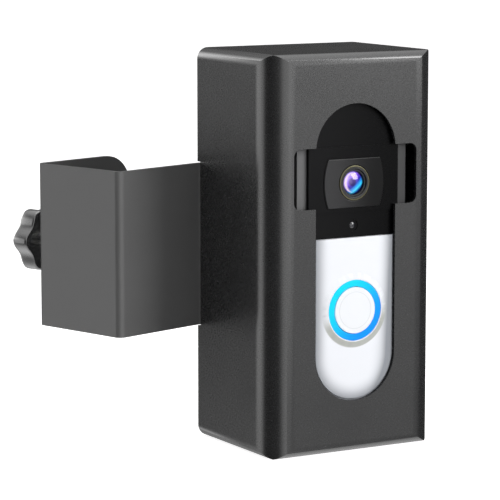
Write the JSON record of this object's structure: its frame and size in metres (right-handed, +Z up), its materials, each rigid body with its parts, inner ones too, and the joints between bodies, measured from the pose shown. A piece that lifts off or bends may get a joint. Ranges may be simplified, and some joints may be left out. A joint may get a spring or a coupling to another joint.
{
  "type": "video doorbell",
  "caption": "Battery video doorbell in a steel guard box, carried by a folded bracket whose channel and star-knob clamp grip the edge of a door.",
  "frame": {"origin": "middle of the face of the arm's pad, where the door's outer face bears", "axes": "+Z up, -Y out of the doorbell's face towards the visitor, the door's edge channel on the -X side; the door's face is turned 17 degrees about Z from the box's back"},
  "size_m": [0.146, 0.1318, 0.17],
  "materials": {
    "guard_coat": "fine black-grey powder coat, satin",
    "bracket_coat": "fine grey powder coat, satin",
    "zinc_steel": "bright zinc plate",
    "screw_steel": "zinc-plated threads",
    "black_steel": "black oxide",
    "door_rubber": "ribbed soft rubber",
    "knob_black": "moulded, glossy",
    "frame_grey": "satin moulded",
    "cover_black": "satin black",
    "rear_black": "fine moulded texture",
    "gasket_rubber": "soft silicone",
    "terminal_brass": "plain",
    "window_black": "polished",
    "lens_trim": "satin trim ring",
    "lens_glass": "coated glass",
    "circuit_board": "solder mask",
    "chip_black": "moulded package",
    "led_clear": "clear epoxy",
    "sensor_smoke": "smoked lens",
    "plate_white": "satin white",
    "button_white": "satin white",
    "ring_light": "lit light guide",
    "switch_grey": "moulded",
    "connector_ivory": "moulded",
    "cell_wrap": "shrink wrap",
    "setup_orange": "moulded"
  },
  "bodies": {
    "housing": {"guard_box": "guard_coat", "door_bracket": "bracket_coat", "bell_carrier": "zinc_steel", "carrier_rivets": "zinc_steel", "security_screws": "black_steel", "security_nuts": "zinc_steel", "arm_pad": "door_rubber", "edge_pad": "door_rubber", "clamp_nut": "zinc_steel", "wall_plate": "rear_black", "wall_plate_screws": "screw_steel", "side_frame": "frame_grey", "front_cover": "cover_black", "cover_gasket": "gasket_rubber", "rear_cover": "rear_black", "case_screws": "screw_steel", "terminal_screws": "terminal_brass", "camera_window": "window_black", "lens_ring": "lens_trim", "lens_barrel": "rear_black", "front_lens": "lens_glass", "rear_lens": "lens_glass", "image_sensor": "chip_black", "camera_board": "circuit_board", "ir_board": "circuit_board", "ir_leds": "led_clear", "sensor_lens": "sensor_smoke", "light_sensor": "chip_black", "faceplate": "plate_white", "faceplate_screw": "black_steel", "light_ring": "ring_light", "ring_board": "circuit_board", "ring_leds": "led_clear", "tact_switch": "switch_grey", "main_board": "circuit_board", "board_chips": "chip_black", "radio_shield": "zinc_steel", "board_connector": "connector_ivory", "speaker": "chip_black", "microphone": "zinc_steel", "battery_pack": "cell_wrap", "charge_port": "zinc_steel", "setup_switch": "switch_grey"},
    "foot": {"clamp_foot": "zinc_steel", "foot_pad": "door_rubber"},
    "knob": {"clamp_screw": "screw_steel", "star_knob": "knob_black"},
    "button": {"button_cap": "button_white", "switch_plunger": "chip_black"},
    "setup": {"setup_button": "setup_orange"}
  },
  "joints": [
    {"name": "screw_advance", "type": "slide", "parent": "housing", "child": "foot", "axis": [0.2924, -0.9563, 0], "range_m": [0, 0.012]},
    {"name": "knob_turn", "type": "hinge", "parent": "foot", "child": "knob", "pos_m": [-0.01512, 0.04536, -0.002], "axis": [0.2924, -0.9563, 0], "range_deg": [0, 4330]},
    {"name": "button_press", "type": "slide", "parent": "housing", "child": "button", "axis": [0, 1, 0], "range_m": [0, 0.0006], "stiffness_N_per_m": 400, "springref_m": -0.001},
    {"name": "setup_press", "type": "slide", "parent": "housing", "child": "setup", "axis": [0, -1, 0], "range_m": [0, 0.0004], "stiffness_N_per_m": 300, "springref_m": -0.001}
  ],
  "couplings": [
    {"joint": "knob_turn", "follows": "screw_advance", "rad_per_m": 6283.2}
  ]
}
